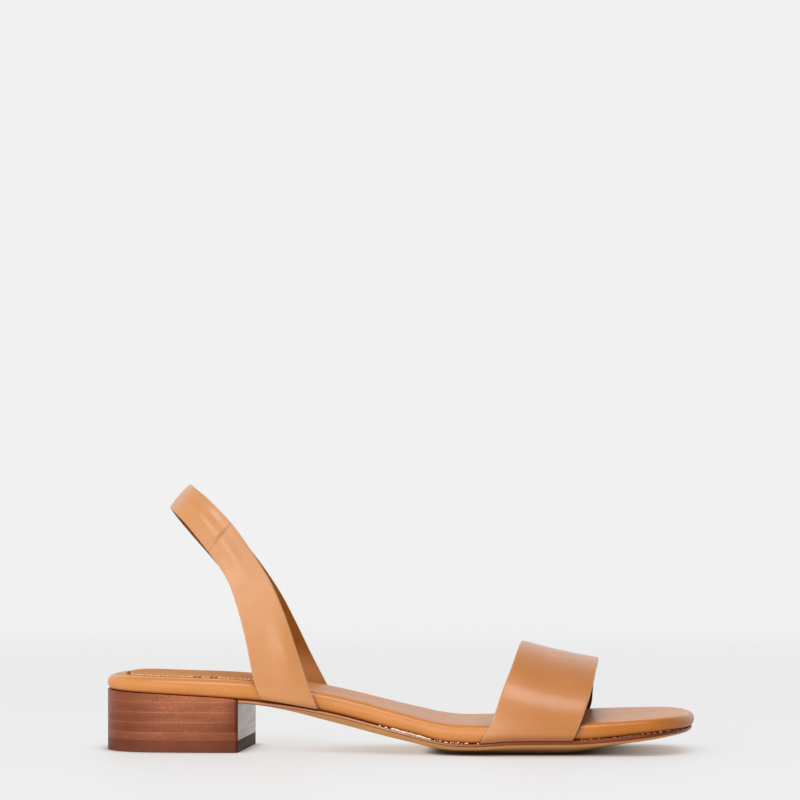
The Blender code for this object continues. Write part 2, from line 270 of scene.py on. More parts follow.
INSTEP = table("along crown", (160, 48.6), (176, 44.5), (192, 40.4), (208, 37.3), (216, 36.2))
FRONT_STRAP_EDGES = table(
    "rise back outer_front inner_front",
    (0.0, 162.0, 200.4, 200.6),
    (0.06, 164.0, 201.6, 201.8),
    (0.15, 166.2, 203.0, 203.2),
    (0.3, 168.5, 204.8, 204.8),
    (0.5, 170.9, 206.8, 205.5),
    (0.75, 174.0, 208.5, 206.7),
    (1.0, 176.2, 209.5, 209.5),
)
STRAP_THICKNESS = 1.8
STRAP_GAP = 0.35
STRAP_FOOT = 0.8
# Reach up a strap of the painted shade at its foot
BASE_REACH = 1.7
CROWN_SHIFT = 5.0
FRONT_SKEW = 1.8
FRONT_SKEW_ANGLE = np.radians(112)
FRONT_SKEW_REACH = np.radians(18)
FORM_POWER = 2.3
TUCK_DEPTH = 0.8
TUCK_RISE = 0.06
FRONT_STRAP_STEPS = 150
FRONT_STRAP_COLUMNS = 30

SLING = table(
    "rear_along rear_side rear_up front_along front_side front_up",
    (69.0, -28.5, 22.8, 92.6, -27.8, 18.6),
    (66.7, -28.9, 27.0, 89.3, -28.1, 26.5),
    (64.6, -29.3, 35.0, 85.7, -28.7, 37.2),
    (62.6, -29.4, 45.4, 81.7, -29.1, 49.7),
    (60.3, -29.0, 55.0, 77.8, -28.9, 60.5),
    (56.8, -27.8, 66.3, 72.3, -28.0, 72.6),
    (53.2, -26.1, 74.4, 63.4, -25.9, 86.2),
    (45.5, -23.2, 84.8, 55.5, -23.4, 96.5),
    (36.4, -19.2, 95.4, 46.0, -19.6, 105.9),
    (30.0, -11.6, 100.8, 39.4, -12.0, 110.5),
    (26.9, 0.0, 102.0, 35.5, 0.0, 112.0),
    (27.9, 11.6, 98.0, 36.7, 12.0, 108.4),
    (33.0, 19.2, 90.4, 42.7, 19.6, 101.4),
    (41.0, 23.2, 80.6, 51.1, 23.4, 91.8),
    (49.7, 25.2, 69.7, 60.7, 25.4, 80.2),
    (57.1, 26.3, 57.3, 70.0, 26.0, 66.6),
    (61.9, 26.7, 45.4, 76.9, 25.6, 53.9),
    (66.1, 26.4, 33.6, 83.7, 24.6, 40.2),
    (68.9, 25.8, 27.0, 90.5, 23.2, 27.4),
    (71.9, 25.2, 22.0, 95.8, 22.5, 17.9),
)
OUTER_SEAM_ROW = 7
INNER_SEAM_ROW = 13
SEAM_SHARE = 0.004
# The sling lies flat at its outer base and is crowned from its seam on
SLING_CROWN = table("row height", (5.0, 0.0), (6.8, 0.5))
SLEEVE_THICKNESS = 2.2
STRAP_STEPS_PER_ROW = 14
SLEEVE_STEPS_PER_ROW = 60
SLING_SHARES = np.linspace(0, 1, 31)[None, :]

# Rounded cut edge of a strap: how far in it lies, how far up as a share of half the thickness, and
# how raw the cut looks there
STRAP_EDGE = table(
    "inset up cut",
    (0.0, 0.35, 1.0),
    (0.02, 0.65, 1.0),
    (0.12, 0.88, 1.0),
    (0.32, 1.0, 0.35),
)

# Soft ridges and troughs of the sling: row and share of the width of each, its reach in both ways
# and its height
SLING_FOLDS = table(
    "row share reach width height",
    (2.2, 0.74, 1.0, 0.2, 1.0),
    (6.2, 0.5, 0.55, 0.15, 0.22),
    (7.7, 0.5, 0.9, 0.15, 0.3),
    (7.9, 0.76, 0.8, 0.1, -0.2),
    (9.0, 0.4, 0.5, 0.18, 0.14),
    (12.2, 0.5, 0.6, 0.14, 0.25),
)
# Gathers of the sleeve and pinch of its two seams
GATHER_DEPTH = 0.06
GATHERS_PER_ROW = 11.0
GATHER_FADE = 0.7
GATHER_SHARE = 0.45
GATHER_LEAST = 0.15
GATHER_PLACE = 0.1
# Slow waves by which the gathers wander
GATHER_WAVES = table("size by_share by_row", (0.9, 7.0, 1.7), (0.6, 11.0, 3.1))
PINCH_SHARE = 0.34
PINCH_WIDTH = 0.04
PINCH_PLACE = 0.6
PINCH_REACH = 0.3


# Curves and outlines
def ramp(value, start, end):
    """Share of the way from a start to an end, held at 0 before it and at 1 after it."""
    return np.clip((value - start) / (end - start), 0, 1)


def bump_at(value, centre, reach):
    """A soft bump of height 1 about a centre."""
    return np.exp(-(((value - centre) / reach) ** 2))


def smooth(places, values, at):
    """Value at a place, on a smooth curve through the rows of two columns."""
    slopes = np.gradient(values, places)
    row = np.clip(np.searchsorted(places, at, side="right") - 1, 0, len(places) - 2)
    span = places[row + 1] - places[row]
    share = np.clip((at - places[row]) / span, 0, 1)
    rise = values[row + 1] - values[row]
    leave = slopes[row] * span - rise
    arrive = rise - slopes[row + 1] * span
    bend = leave * (1 - share) + arrive * share
    return values[row] + share * rise + share * (1 - share) * bend


def profile(column, along):
    """Height or depth of the side profile at a place along the shoe."""
    return smooth(PROFILE["along"], PROFILE[column], along)


def plan_widths(along):
    """Lateral and medial width of the plan at a place along the shoe."""
    return [smooth(PLAN["along"], PLAN[side], along) for side in ("lateral", "medial")]


def middle(along):
    """Centre of the plan at a place along the shoe."""
    lateral, medial = plan_widths(along)
    return (medial - lateral) / 2


def half_width(along):
    """Half the width of the plan at a place along the shoe, before the ends are rounded in."""
    lateral, medial = plan_widths(along)
    return (medial + lateral) / 2


def across(outline):
    """Distance of plan points from the centre of the plan, as a share of half its width."""
    along, side = outline.T
    return (side - middle(along)) / half_width(along)


def rounded(distance, length):
    """Share of the full width at a distance from a rounded end."""
    return (1 - np.clip(1 - distance / length, 0, 1) ** END_POWER) ** (1 / END_POWER)


def sides(along, toe):
    """Outer and inner side of the plan, rounded in at the heel and at the given toe."""
    half = half_width(along) * rounded(along, HEEL_ROUND) * rounded(toe - along, TOE_ROUND)
    centre = middle(along)
    return np.column_stack([along, centre - half]), np.column_stack([along, centre + half])


def whole_outline():
    """Footbed outline: heel, outer side, toe and back along the inner side."""
    turn = np.linspace(0, np.pi, FOOTBED_STATIONS + 1)
    outer, inner = sides(SHOE_LENGTH * (1 - np.cos(turn)) / 2, SHOE_LENGTH)
    return np.vstack([outer, inner[-2::-1]])


def fore_outline():
    """Outsole outline: from the heel breast along the outer side to the toe and back."""
    turn = np.linspace(0, np.pi / 2, OUTSOLE_STATIONS + 1)
    outer, inner = sides(BREAST + (OUTSOLE_TOE - BREAST) * np.sin(turn), OUTSOLE_TOE)
    return np.vstack([outer, inner[-2::-1]])


def heel_outline(front, stations):
    """Outline of the heel end: from the inner front corner round the back to the outer one."""
    turn = np.linspace(0, np.pi / 2, stations + 1)
    outer, inner = sides(front * (1 - np.cos(turn)), SHOE_LENGTH)
    return np.vstack([inner[::-1], outer[1:]])


def breast(side):
    """Place of the slightly skewed heel breast at a distance across the shoe."""
    return BREAST + BREAST_SKEW * (side + PLAN["lateral"][0])


def inset(outline, distance):
    """An outline moved inwards by a distance, or outwards where it is negative."""
    run = np.gradient(outline, axis=0)
    if np.allclose(outline[0], outline[-1]):
        run[0] = run[-1] = outline[1] - outline[-2]
    run /= np.linalg.norm(run, axis=1, keepdims=True)
    inward = np.column_stack([-run[:, 1], run[:, 0]])
    return outline + inward * np.reshape(distance, (-1, 1))


def towards_spine(outline, share, start, end):
    """An outline drawn in by a share of the way to the middle line of the shoe."""
    along = np.clip(outline[:, 0], start, end)
    spine = np.column_stack([along, middle(along)])
    return outline + (spine - outline) * share


def at_height(outline, height):
    """A plan outline lifted to a height, one for all its points or one for each."""
    return np.column_stack([outline, np.broadcast_to(height, len(outline))])


def footbed_top(outline):
    """Height of the footbed's hollowed top at the points of a plan outline."""
    along = outline[:, 0]
    from_heel = np.clip(1 - along / HEEL_ROUND, 0, 1)
    from_toe = np.clip(1 - (SHOE_LENGTH - along) / TOE_ROUND, 0, 1)
    towards_edge = np.clip(across(outline) ** 2 + from_heel**2 + from_toe**2, 0, 1)
    sink = profile("hollow", along) * (1 - towards_edge) ** 2
    return profile("seam", along) + profile("padding", along) - sink


def sole_top(outline):
    """Height of the outsole's top, a fit gap under the seam, at the points of a plan outline."""
    return profile("seam", outline[:, 0]) - FIT_GAP


def outward(grid):
    """Unit normals of a grid of points, on the side away from the foot."""
    normal = np.cross(np.gradient(grid, axis=1), np.gradient(grid, axis=0))
    return normal / np.linalg.norm(normal, axis=2, keepdims=True)


# Meshes
def skin(rings):
    """Faces of a body through rings of points, with a ladder of faces at each end."""
    count = len(rings[0])
    top = (len(rings) - 1) * count
    faces = []
    for low in range(0, top, count):
        high = low + count
        for place in range(count):
            after = (place + 1) % count
            faces.append((low + place, low + after, high + after, high + place))
    tip = count // 2
    for place in range(tip - 1):
        facing = count - 1 - place
        faces.append((facing, facing - 1, place + 1, place))
        faces.append((top + place, top + place + 1, top + facing - 1, top + facing))
    if count % 2:
        faces.append((tip + 1, tip, tip - 1))
        faces.append((top + tip - 1, top + tip, top + tip + 1))
    return faces


def placed(name, points, faces, masks, material, slot, node=None, sharp=SHARP_ANGLE):
    """A smooth-shaded object on the shoe's body, in place of a solid where one is named.

    Its masks are named values for each of its points.
    """
    mesh = bpy.data.meshes.new(name)
    mesh.from_pydata(((points - ORIGIN) * MM).tolist(), [], faces)
    for mask, values in masks.items():
        layer = mesh.attributes.new(mask, "FLOAT", "POINT")
        layer.data.foreach_set("value", np.ascontiguousarray(values, np.float32).ravel())
    mesh.shade_smooth()
    mesh.set_sharp_from_angle(angle=np.radians(sharp))
    mesh.materials.append(material)
    shown = bpy.data.objects.new(name, mesh)
    bpy.context.scene.collection.objects.link(shown)
    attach(shown, "root")
    if node:
        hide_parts(node)
    return shown


def piece(name, rings, masks, *looks, **settings):
    """A closed body through rings of points."""
    return placed(name, np.vstack(rings), skin(rings), masks, *looks, **settings)


def second_material(shown, rings, start, material):
    """Give the sides of a piece another material from a place in its rings on."""
    shown.data.materials.append(material)
    count = len(rings[0])
    for face in shown.data.polygons[: (len(rings) - 1) * count]:
        if face.index % count >= start:
            face.material_index = 1


# Materials
class Nodes:
    """A node tree with short ways to add to it."""

    def __init__(self, tree, coordinates):
        self.tree = tree
        self.place = tree.nodes.new("ShaderNodeTexCoord").outputs[coordinates]

    def node(self, kind, inputs, **settings):
        """A node with its settings, each input given as a value or as another node's output."""
        node = self.tree.nodes.new(kind)
        for setting, value in settings.items():
            setattr(node, setting, value)
        for socket, value in inputs.items():
            if isinstance(value, bpy.types.NodeSocket):
                self.tree.links.new(value, node.inputs[socket])
            else:
                node.inputs[socket].default_value = value
        return node

    def axis(self, name):
        """Place along the axis X, Y or Z, in metres for a material."""
        return self.node("ShaderNodeSeparateXYZ", {0: self.place}).outputs[name]

    def between(self, value, low, high, start=0.0, end=1.0):
        """A value spread from one range to another and held at its ends."""
        inputs = {"Value": value, "From Min": low, "From Max": high, "To Min": start, "To Max": end}
        return self.node("ShaderNodeMapRange", inputs, interpolation_type="SMOOTHSTEP").outputs[0]

    def maths(self, operation, first, second):
        """Result of an operation on two values, each given as a number or an output."""
        return self.node("ShaderNodeMath", {0: first, 1: second}, operation=operation).outputs[0]


class Shader(Nodes):
    """A Principled material, with constants named after their sockets."""

    def __init__(self, name, colour, roughness, ior=1.5, **constants):
        self.material = bpy.data.materials.new(name)
        self.material.use_nodes = True
        super().__init__(self.material.node_tree, "Object")
        self.surface = self.tree.nodes["Principled BSDF"]
        self.surface.inputs["Base Color"].default_value = (*colour, 1)
        self.surface.inputs["Roughness"].default_value = roughness
        self.surface.inputs["IOR"].default_value = ior
        for socket, value in constants.items():
            self.surface.inputs[socket.replace("_", " ")].default_value = value

    def connect(self, socket, output):
        """Feed a socket of the surface."""
        self.tree.links.new(output, self.surface.inputs[socket])

    def noise(self, size, detail=3, stretch=(1, 1, 1)):
        """Cloudy value from 0 to 1 with features of a size in millimetres."""
        scale = [1 / (size * MM * way) for way in stretch]
        mapped = self.node("ShaderNodeMapping", {"Vector": self.place, "Scale": scale})
        inputs = {"Vector": mapped.outputs[0], "Scale": 1.0, "Detail": detail}
        return self.node("ShaderNodeTexNoise", inputs).outputs["Fac"]

    def clouds(self, size, detail=3, stretch=(1, 1, 1), span=(0.3, 0.7), reach=(0, 1)):
        """Noise with a span of its values spread over a reach."""
        return self.between(self.noise(size, detail, stretch), *span, *reach)

    def cells(self, size):
        """Distance from 0 upwards to the nearest of many scattered points."""
        inputs = {"Vector": self.place, "Scale": 1 / (size * MM)}
        return self.node("ShaderNodeTexVoronoi", inputs, feature="F1").outputs["Distance"]

    def mask(self, name, share=None):
        """A value stored with the points of the mesh, or a share of it."""
        value = self.node("ShaderNodeAttribute", {}, attribute_name=name).outputs["Fac"]
        return self.maths("MULTIPLY", value, share) if share else value

    def mix(self, share, first, second):
        """Two colours mixed by a share, each given as three numbers or an output."""
        inputs = {0: share}
        for socket, value in ((6, first), (7, second)):
            inputs[socket] = (*value, 1) if isinstance(value, tuple) else value
        return self.node("ShaderNodeMix", inputs, data_type="RGBA").outputs[2]

    def bump(self, height, distance, strength=0.5):
        """Raise the surface by a height, up to a distance in millimetres."""
        inputs = {"Height": height, "Distance": distance * MM, "Strength": strength}
        socket = self.surface.inputs["Normal"]
        if socket.is_linked:
            inputs["Normal"] = socket.links[0].from_socket
        self.tree.links.new(self.node("ShaderNodeBump", inputs).outputs[0], socket)


TAN = (0.65, 0.25, 0.068)
TAN_DEEP = (0.6, 0.215, 0.053)
# The sling's leather is lighter than the front strap's: partly its own colour, partly a painted
# sheen
SLING_TAN = (0.72, 0.305, 0.1)
SLING_TAN_DEEP = (0.67, 0.266, 0.078)
SLING_TAN_HIGH = (0.66, 0.28, 0.095)
FOOTBED_TAN = (0.72, 0.272, 0.052)
FOOTBED_TAN_DEEP = (0.67, 0.232, 0.042)
SOCK_TAN = (0.72, 0.285, 0.065)
SOCK_TAN_DEEP = (0.65, 0.235, 0.048)
TOE_SHADE_TAN = (0.57, 0.168, 0.008)
# Cut edges are paler: partly the raw leather's colour, partly a painted highlight along the edge
RAW_EDGE = (0.7, 0.36, 0.16)
SHADE_BROWN = (0.3, 0.09, 0.02)
# The front strap's lining is nearly black, darker than the sling's: a painted shade inside the
# strap
LINING_BLACK = (0.10, 0.033, 0.010)
LINING_BLACK_DEEP = (0.075, 0.024, 0.008)
LINING_BROWN = (0.3, 0.1, 0.016)
LINING_BROWN_DEEP = (0.25, 0.076, 0.011)
LINING_BROWN_BOUNCE = (0.53, 0.225, 0.08)
# Breast faces: the stack's pale grey is partly a painted reflection of the pale surroundings, the
# top piece's near black is a painted shade
BREAST_GREY = (0.34, 0.26, 0.235)
BREAST_GREY_DEEP = (0.25, 0.19, 0.17)
BREAST_BLACK = (0.085, 0.044, 0.025)
BREAST_BLACK_DEEP = (0.055, 0.028, 0.016)
# Heights in metres between which the sling darkens towards its top, and between which a lining
# takes on its low colour towards its foot: on the sling's lining a painted bounce light from the
# floor
HIGH_TONE = (0.06, 0.1)
LOW_LINING = (0.03, 0.045)


def leather(name, light, deep, high, roughness, coat, specular=0.5):
    """Smooth calf leather: cloudy dye, a tone changing with height, fine pores and soft gloss.

    Masks of the mesh mark raw cut edges, paler partly by a painted highlight, and matt wear, and
    painted shade on the side towards the toe, at the foot of the straps, along the sock's edge and
    on the footbed at the front strap.
    """
    gloss = {"Coat_Weight": coat, "Coat_Roughness": 0.24, "Specular_IOR_Level": specular}
    shader = Shader(name, light, roughness, **gloss)
    dye_and_shade = shader.mix(shader.clouds(size=22, detail=4), light, deep)
    mottle = shader.clouds(size=1.6, span=(0.25, 0.75), reach=(0, 0.32))
    dye_and_shade = shader.mix(mottle, dye_and_shade, deep)
    dye_and_shade = shader.mix(shader.between(shader.axis("Z"), *HIGH_TONE), dye_and_shade, high)
    # Painted shade on the footbed's side towards the toe
    dye_and_shade = shader.mix(shader.mask("toe"), dye_and_shade, TOE_SHADE_TAN)
    # Paler cut edges, partly a painted highlight
    dye_and_shade = shader.mix(shader.mask("cut"), dye_and_shade, RAW_EDGE)
    # Painted shade at the foot of the straps, along the sock's edge and on the footbed at the front
    # strap
    shader.connect("Base Color", shader.mix(shader.mask("base", share=0.7), dye_and_shade, SHADE_BROWN))
    rough = shader.clouds(size=5, detail=4, reach=(roughness - 0.03, roughness + 0.05))
    shader.connect("Roughness", shader.maths("ADD", rough, shader.mask("matt", share=0.22)))
    shader.bump(shader.noise(size=7), distance=0.16)
    shader.bump(shader.noise(size=0.9, detail=4), distance=0.045)
    shader.bump(shader.cells(size=0.55), distance=0.012)
    return shader.material


def lining(name, light, deep, low):
    """Matt lining leather with a short nap, on the foot's side of a strap."""
    shader = Shader(name, light, roughness=0.85, ior=1.45, Specular_IOR_Level=0.15)
    napped = shader.mix(shader.clouds(size=6, detail=4), light, deep)
    # Towards its foot the lining takes its low colour: on the sling's lining a painted bounce light
    lower = shader.between(shader.axis("Z"), *LOW_LINING, start=1, end=0)
    shader.connect("Base Color", shader.mix(lower, napped, low))
    shader.bump(shader.noise(size=0.4), distance=0.05)
    return shader.material


def sole_leather():
    """Dense tan sole leather whose upper edge is painted red-brown."""
    tan, tan_deep = (0.62, 0.298, 0.098), (0.52, 0.232, 0.07)
    red, rubbed, dark = (0.27, 0.057, 0.014), (0.66, 0.32, 0.19), (0.07, 0.014, 0.003)
    matt, gloss = 0.5, 0.2
    shader = Shader("outsole_leather", tan, roughness=0.45, Specular_IOR_Level=0.3)
    fibres = shader.clouds(size=0.5, detail=4, stretch=(14, 14, 1), span=(0.3, 0.75))
    cut = shader.mix(fibres, tan, tan_deep)
    cut = shader.mix(shader.clouds(size=18, span=(0.35, 0.7), reach=(0, 0.5)), cut, tan_deep)
    # Painted highlight that lightens the crest of the paint's bead
    paint = shader.mix(shader.mask("crest"), red, rubbed)
    paint = shader.mix(shader.mask("dark"), paint, dark)
    shader.connect("Base Color", shader.mix(shader.mask("paint"), cut, paint))
    shader.connect("Roughness", shader.maths("SUBTRACT", matt, shader.mask("paint", share=gloss)))
    shader.bump(shader.noise(size=0.8, detail=4, stretch=(5, 5, 1)), distance=0.04)
    shader.bump(shader.noise(size=0.35, detail=2), distance=0.02, strength=0.4)
    return shader.material


def heel_stack():
    """Polished stacked lifts: speckled fibre, pale joint lines and dark front corners."""
    light, low, deep = (0.64, 0.215, 0.095), (0.36, 0.105, 0.047), (0.17, 0.041, 0.018)
    line, burnish_shade, corner = (0.58, 0.23, 0.11), (0.12, 0.02, 0.006), (0.04, 0.012, 0.007)
    flat, speck_share = (16, 16, 1), 0.45
    shader = Shader("heel_stack", light, roughness=0.4, Specular_IOR_Level=0.16)
    streaks = shader.clouds(size=0.7, detail=4, stretch=flat, span=(0.3, 0.75), reach=(0, 0.3))
    speckle = shader.clouds(size=0.4, stretch=(1.6, 1.6, 1), span=(0.4, 0.62))
    specks = shader.maths("MULTIPLY", speckle, speck_share)
    clouds = shader.clouds(size=12, stretch=(2, 2, 0.6), span=(0.35, 0.68), reach=(0, 0.4))
    # Tone of each layer: partly its own, partly painted light
    stacked = shader.mix(shader.mask("tone"), low, light)
    for share in (streaks, specks, clouds):
        stacked = shader.mix(share, stacked, deep)
    rise = shader.mask("rise")
    for start, end, share in ((0.35, 1.0, 0.15), (0.9, 0.95, 0.6)):
        stacked = shader.mix(shader.between(rise, start, end, 0, share), stacked, line)
    # Darker towards the breast, partly burnish and partly painted shade, and painted shade round
    # the back
    stacked = shader.mix(shader.mask("burnish_and_shade", share=0.85), stacked, burnish_shade)
    shader.connect("Base Color", shader.mix(shader.mask("corner"), stacked, corner))
    shader.connect("Roughness", shader.between(speckle, 0, 1, start=0.38, end=0.5))
    shader.bump(shader.noise(size=0.5, stretch=(6, 6, 1)), distance=0.03, strength=0.4)
    return shader.material


def breast_face(name, light, deep, roughness, specular):
    """Polished front face of the heel, mottled where the polish lies thicker."""
    shader = Shader(name, light, roughness, Specular_IOR_Level=specular)
    stretch = (1, 9, 1)
    mottle = shader.clouds(size=2.5, stretch=stretch, span=(0.35, 0.65))
    shader.connect("Base Color", shader.mix(mottle, light, deep))
    rough = (roughness - 0.04, roughness + 0.06)
    shader.connect("Roughness", shader.clouds(size=4, stretch=stretch, reach=rough))
    shader.bump(shader.noise(size=4, stretch=stretch), distance=0.02, strength=0.3)
    return shader.material


def rubber():
    """Dark brown rubber of the heel's top piece, with faint moulding clouds and scuffs."""
    light, deep = (0.31, 0.084, 0.036), (0.21, 0.056, 0.027)
    burnish_shade, corner = (0.1, 0.026, 0.014), (0.04, 0.014, 0.009)
    shader = Shader("top_piece_rubber", light, roughness=0.55, Specular_IOR_Level=0.15)
    clouds = shader.clouds(size=14, stretch=(2, 2, 1), span=(0.35, 0.68))
    moulded_and_shaded = shader.mix(clouds, light, deep)
    # Darker towards the breast, partly burnish and partly painted shade, and painted shade round
    # the back
    moulded_and_shaded = shader.mix(shader.mask("burnish_and_shade", share=0.9), moulded_and_shaded, burnish_shade)
    shader.connect("Base Color", shader.mix(shader.mask("corner"), moulded_and_shaded, corner))
    scuffs = shader.clouds(size=1.5, detail=4, stretch=(6, 6, 1), reach=(0.5, 0.65))
    shader.connect("Roughness", scuffs)
    shader.bump(shader.noise(size=0.4), distance=0.02, strength=0.4)
    return shader.material


def thread():
    """Glossy twisted sewing thread, gold except in a few darker stretches."""
    gold, brown, dark_thread = (1.0, 0.74, 0.38), (0.8, 0.45, 0.16), (0.2, 0.07, 0.014)
    shader = Shader("thread", gold, roughness=0.45, Specular_IOR_Level=0.2)
    twisted = shader.mix(shader.clouds(size=0.5, detail=2), gold, brown)
    shader.connect("Base Color", shader.mix(shader.mask("dark_thread"), twisted, dark_thread))
    shader.bump(shader.noise(size=0.18, detail=2), distance=0.05, strength=0.6)
    return shader.material


def glue():
    """Glossy glue whose whitish colour is partly its own and partly painted glints."""
    white, cream = (0.95, 0.84, 0.72), (0.85, 0.62, 0.42)
    shader = Shader("seam_glue", white, roughness=0.16)
    dried = shader.clouds(size=1.2, detail=2, span=(0.35, 0.7))
    shader.connect("Base Color", shader.mix(dried, white, cream))
    shader.bump(shader.noise(size=0.3, detail=2), distance=0.05)
    return shader.material


strap_leather = leather("strap_leather", TAN, TAN_DEEP, TAN, roughness=0.38, coat=0.4)
sling_leather = leather(
    "sling_leather", SLING_TAN, SLING_TAN_DEEP, SLING_TAN_HIGH, roughness=0.34, coat=0.3
)
footbed_leather = leather(
    "footbed_leather", FOOTBED_TAN, FOOTBED_TAN_DEEP, FOOTBED_TAN, roughness=0.34, coat=0.2
)
sock_leather = leather(
    "sock_leather", SOCK_TAN, SOCK_TAN_DEEP, SOCK_TAN, roughness=0.62, coat=0.0, specular=0.12
)
# Nearly black lining of the front strap: painted shade
strap_lining = lining("strap_lining", LINING_BLACK, LINING_BLACK_DEEP, LINING_BLACK_DEEP)
sling_lining = lining("sling_lining", LINING_BROWN, LINING_BROWN_DEEP, LINING_BROWN_BOUNCE)
outsole_leather = sole_leather()
stacked_leather = heel_stack()
# Pale grey breast of the stack, partly a painted reflection of the pale surroundings
breast_leather = breast_face(
    "breast_leather", BREAST_GREY, BREAST_GREY_DEEP, roughness=0.24, specular=0.5
)
top_piece_rubber = rubber()
# Nearly black front of the top piece, darker than its sides: a painted shade
breast_rubber = breast_face(
    "breast_rubber", BREAST_BLACK, BREAST_BLACK_DEEP, roughness=0.6, specular=0.08
)
sewing_thread = thread()
seam_glue = glue()


# Pieces
def toe_lean(outline):
    """Rise of the footbed's leaning top at the points of a plan outline."""
    return across(outline) * np.interp(outline[:, 0], *TOE_LEAN.values())


def footbed_masks(rings, along):
    """Named values of the footbed: matt wear, and painted shade on the side towards the toe, at the
    strap and at the tip.
    """
    ring = np.arange(len(rings))[:, None]
    top, low, side = (ramp(ring, *span) for span in (TOP_RINGS, MATT_RINGS, TOE_SHADE_RINGS))
    heel = np.maximum(ramp(along, *MATT_HEEL), MATT_LEAST)
    covered = np.interp(np.stack(rings)[:, :, 0], *STRAP_SHADE.values())
    beside = np.interp(along, *SIDE_SHADE.values()) + TIP_SHADE * ramp(along, *TIP_SHADE_SPAN)
    return {
        "matt": top * heel + low,
        "toe": TOE_SHADE * side * ramp(along, *TOE_SHADE_SPAN),
        "base": (1 - side) * covered + side * beside,
    }


def make_footbed():
    outline = whole_outline()
    foot = inset(outline, FOOTBED_SIDE["inset"][0])
    under = towards_spine(foot, UNDERSIDE_SHARE, SPINE_START, SPINE_END)
    rings = [at_height(under, profile("seam", under[:, 0]))]
    rows = np.arange(len(FOOTBED_SIDE["rise"]), dtype=float)
    for place in np.linspace(0, rows[-1], FOOTBED_SIDE_RINGS):
        edge = inset(outline, smooth(rows, FOOTBED_SIDE["inset"], place))
        seam = profile("seam", edge[:, 0])
        rise = smooth(rows, FOOTBED_SIDE["rise"], place)
        lean = toe_lean(edge) * (place / rows[-1]) ** 2
        rings.append(at_height(edge, seam + (footbed_top(edge) - seam) * rise + lean))
    for share in FOOTBED_TOP_SHARES:
        top = towards_spine(edge, share, SPINE_START, SPINE_END)
        rings.append(at_height(top, footbed_top(top) + toe_lean(top)))
    # The outline ends where it starts, and each ring needs that point once
    rings = [points[:-1] for points in rings]
    masks = footbed_masks(rings, outline[:-1, 0])
    footbed = piece("footbed_cover", rings, masks, footbed_leather, "footbed_leather", "footbed")


def sock_height(outline, rise):
    """Height of the heel sock's cover, thicker on the inner side, at a share of its rise."""
    inner = ramp(outline[:, 1], -SOCK_TILT_REACH, SOCK_TILT_REACH)
    lift = SOCK_LIFT + (SOCK_INNER_LIFT - SOCK_LIFT) * inner
    return footbed_top(outline) - SOCK_SINK + (SOCK_SINK + lift) * rise


def make_heel_sock():
    outline = inset(heel_outline(SOCK_FRONT, SOCK_STATIONS), SOCK_INSET)
    inner = inset(outline, SOCK_EDGE["inset"][-1])
    under = towards_spine(inner, SOCK_TOP_SHARES[-1], SPINE_START, SOCK_FRONT)
    rings = [at_height(under, sock_height(under, 0))]
    for distance, rise in zip(SOCK_EDGE["inset"], SOCK_EDGE["rise"]):
        edge = inset(outline, distance)
        rings.append(at_height(edge, sock_height(edge, rise)))
    for share in SOCK_TOP_SHARES:
        top = towards_spine(edge, share, SPINE_START, SOCK_FRONT)
        rings.append(at_height(top, sock_height(top, 1)))
    # Painted shadow line along the sock's edge
    shade = [0, *SOCK_EDGE["shade"], *[0] * len(SOCK_TOP_SHARES)]
    masks = {"base": np.repeat(shade, len(outline))}
    piece("heel_sock_cover", rings, masks, sock_leather, "sock_leather", "heel_sock")
    make_stitches(inset(outline, STITCH_INSET))


def bead(spine, radius):
    """Rings of a small rounded body along a short spine of points."""
    turn = np.linspace(0, 2 * np.pi, BEAD_SIDES, endpoint=False)
    shares = np.linspace(-1, 1, len(spine))
    forward = (spine[-1] - spine[0]) / np.linalg.norm(spine[-1] - spine[0])
    aside = np.cross((0, 0, 1), forward)
    girth = radius * np.sqrt(np.clip(1 - shares**BEAD_POWER, BEAD_TIP, 1))
    return [
        at + size * (np.outer(np.cos(turn), aside) + np.outer(np.sin(turn), (0, 0, 1)))
        for at, size in zip(spine, girth)
    ]


def make_beads(name, bodies, masks, material, slot):
    """One object of many small bodies, each given as rings of points."""
    points, faces = [], []
    for rings in bodies:
        faces += [tuple(len(points) + corner for corner in face) for face in skin(rings)]
        points += np.vstack(rings).tolist()
    placed(name, np.array(points), faces, masks, material, slot)


def make_stitches(line):
    """A row of thread stitches lying on the heel sock along a plan line."""
    steps = np.linalg.norm(np.diff(line, axis=0), axis=1)
    run = np.concatenate([[0], np.cumsum(steps)])
    shares = np.linspace(-1, 1, STITCH_POINTS)
    bodies, dark_thread = [], []
    for start in np.arange(STITCH_PITCH, run[-1] - STITCH_PITCH, STITCH_PITCH):
        reach = start + shares * STITCH_LENGTH / 2
        plan = np.column_stack([np.interp(reach, run, line[:, way]) for way in (0, 1)])
        along, side = plan.mean(axis=0)
        proud = STITCH_PROUD - ramp(side, 0, SOCK_TILT_REACH) - shares**2
        height = sock_height(plan, STITCH_BED) + STITCH_RADIUS * proud
        bodies.append(bead(at_height(plan, height), STITCH_RADIUS))
        dark = (side < 0) & (DARK_STITCHES["start"] < along) & (along < DARK_STITCHES["end"])
        dark_thread += [float(dark.any())] * BEAD_SIDES * STITCH_POINTS
    make_beads("sock_stitches", bodies, {"dark_thread": dark_thread}, sewing_thread, "sock_leather")


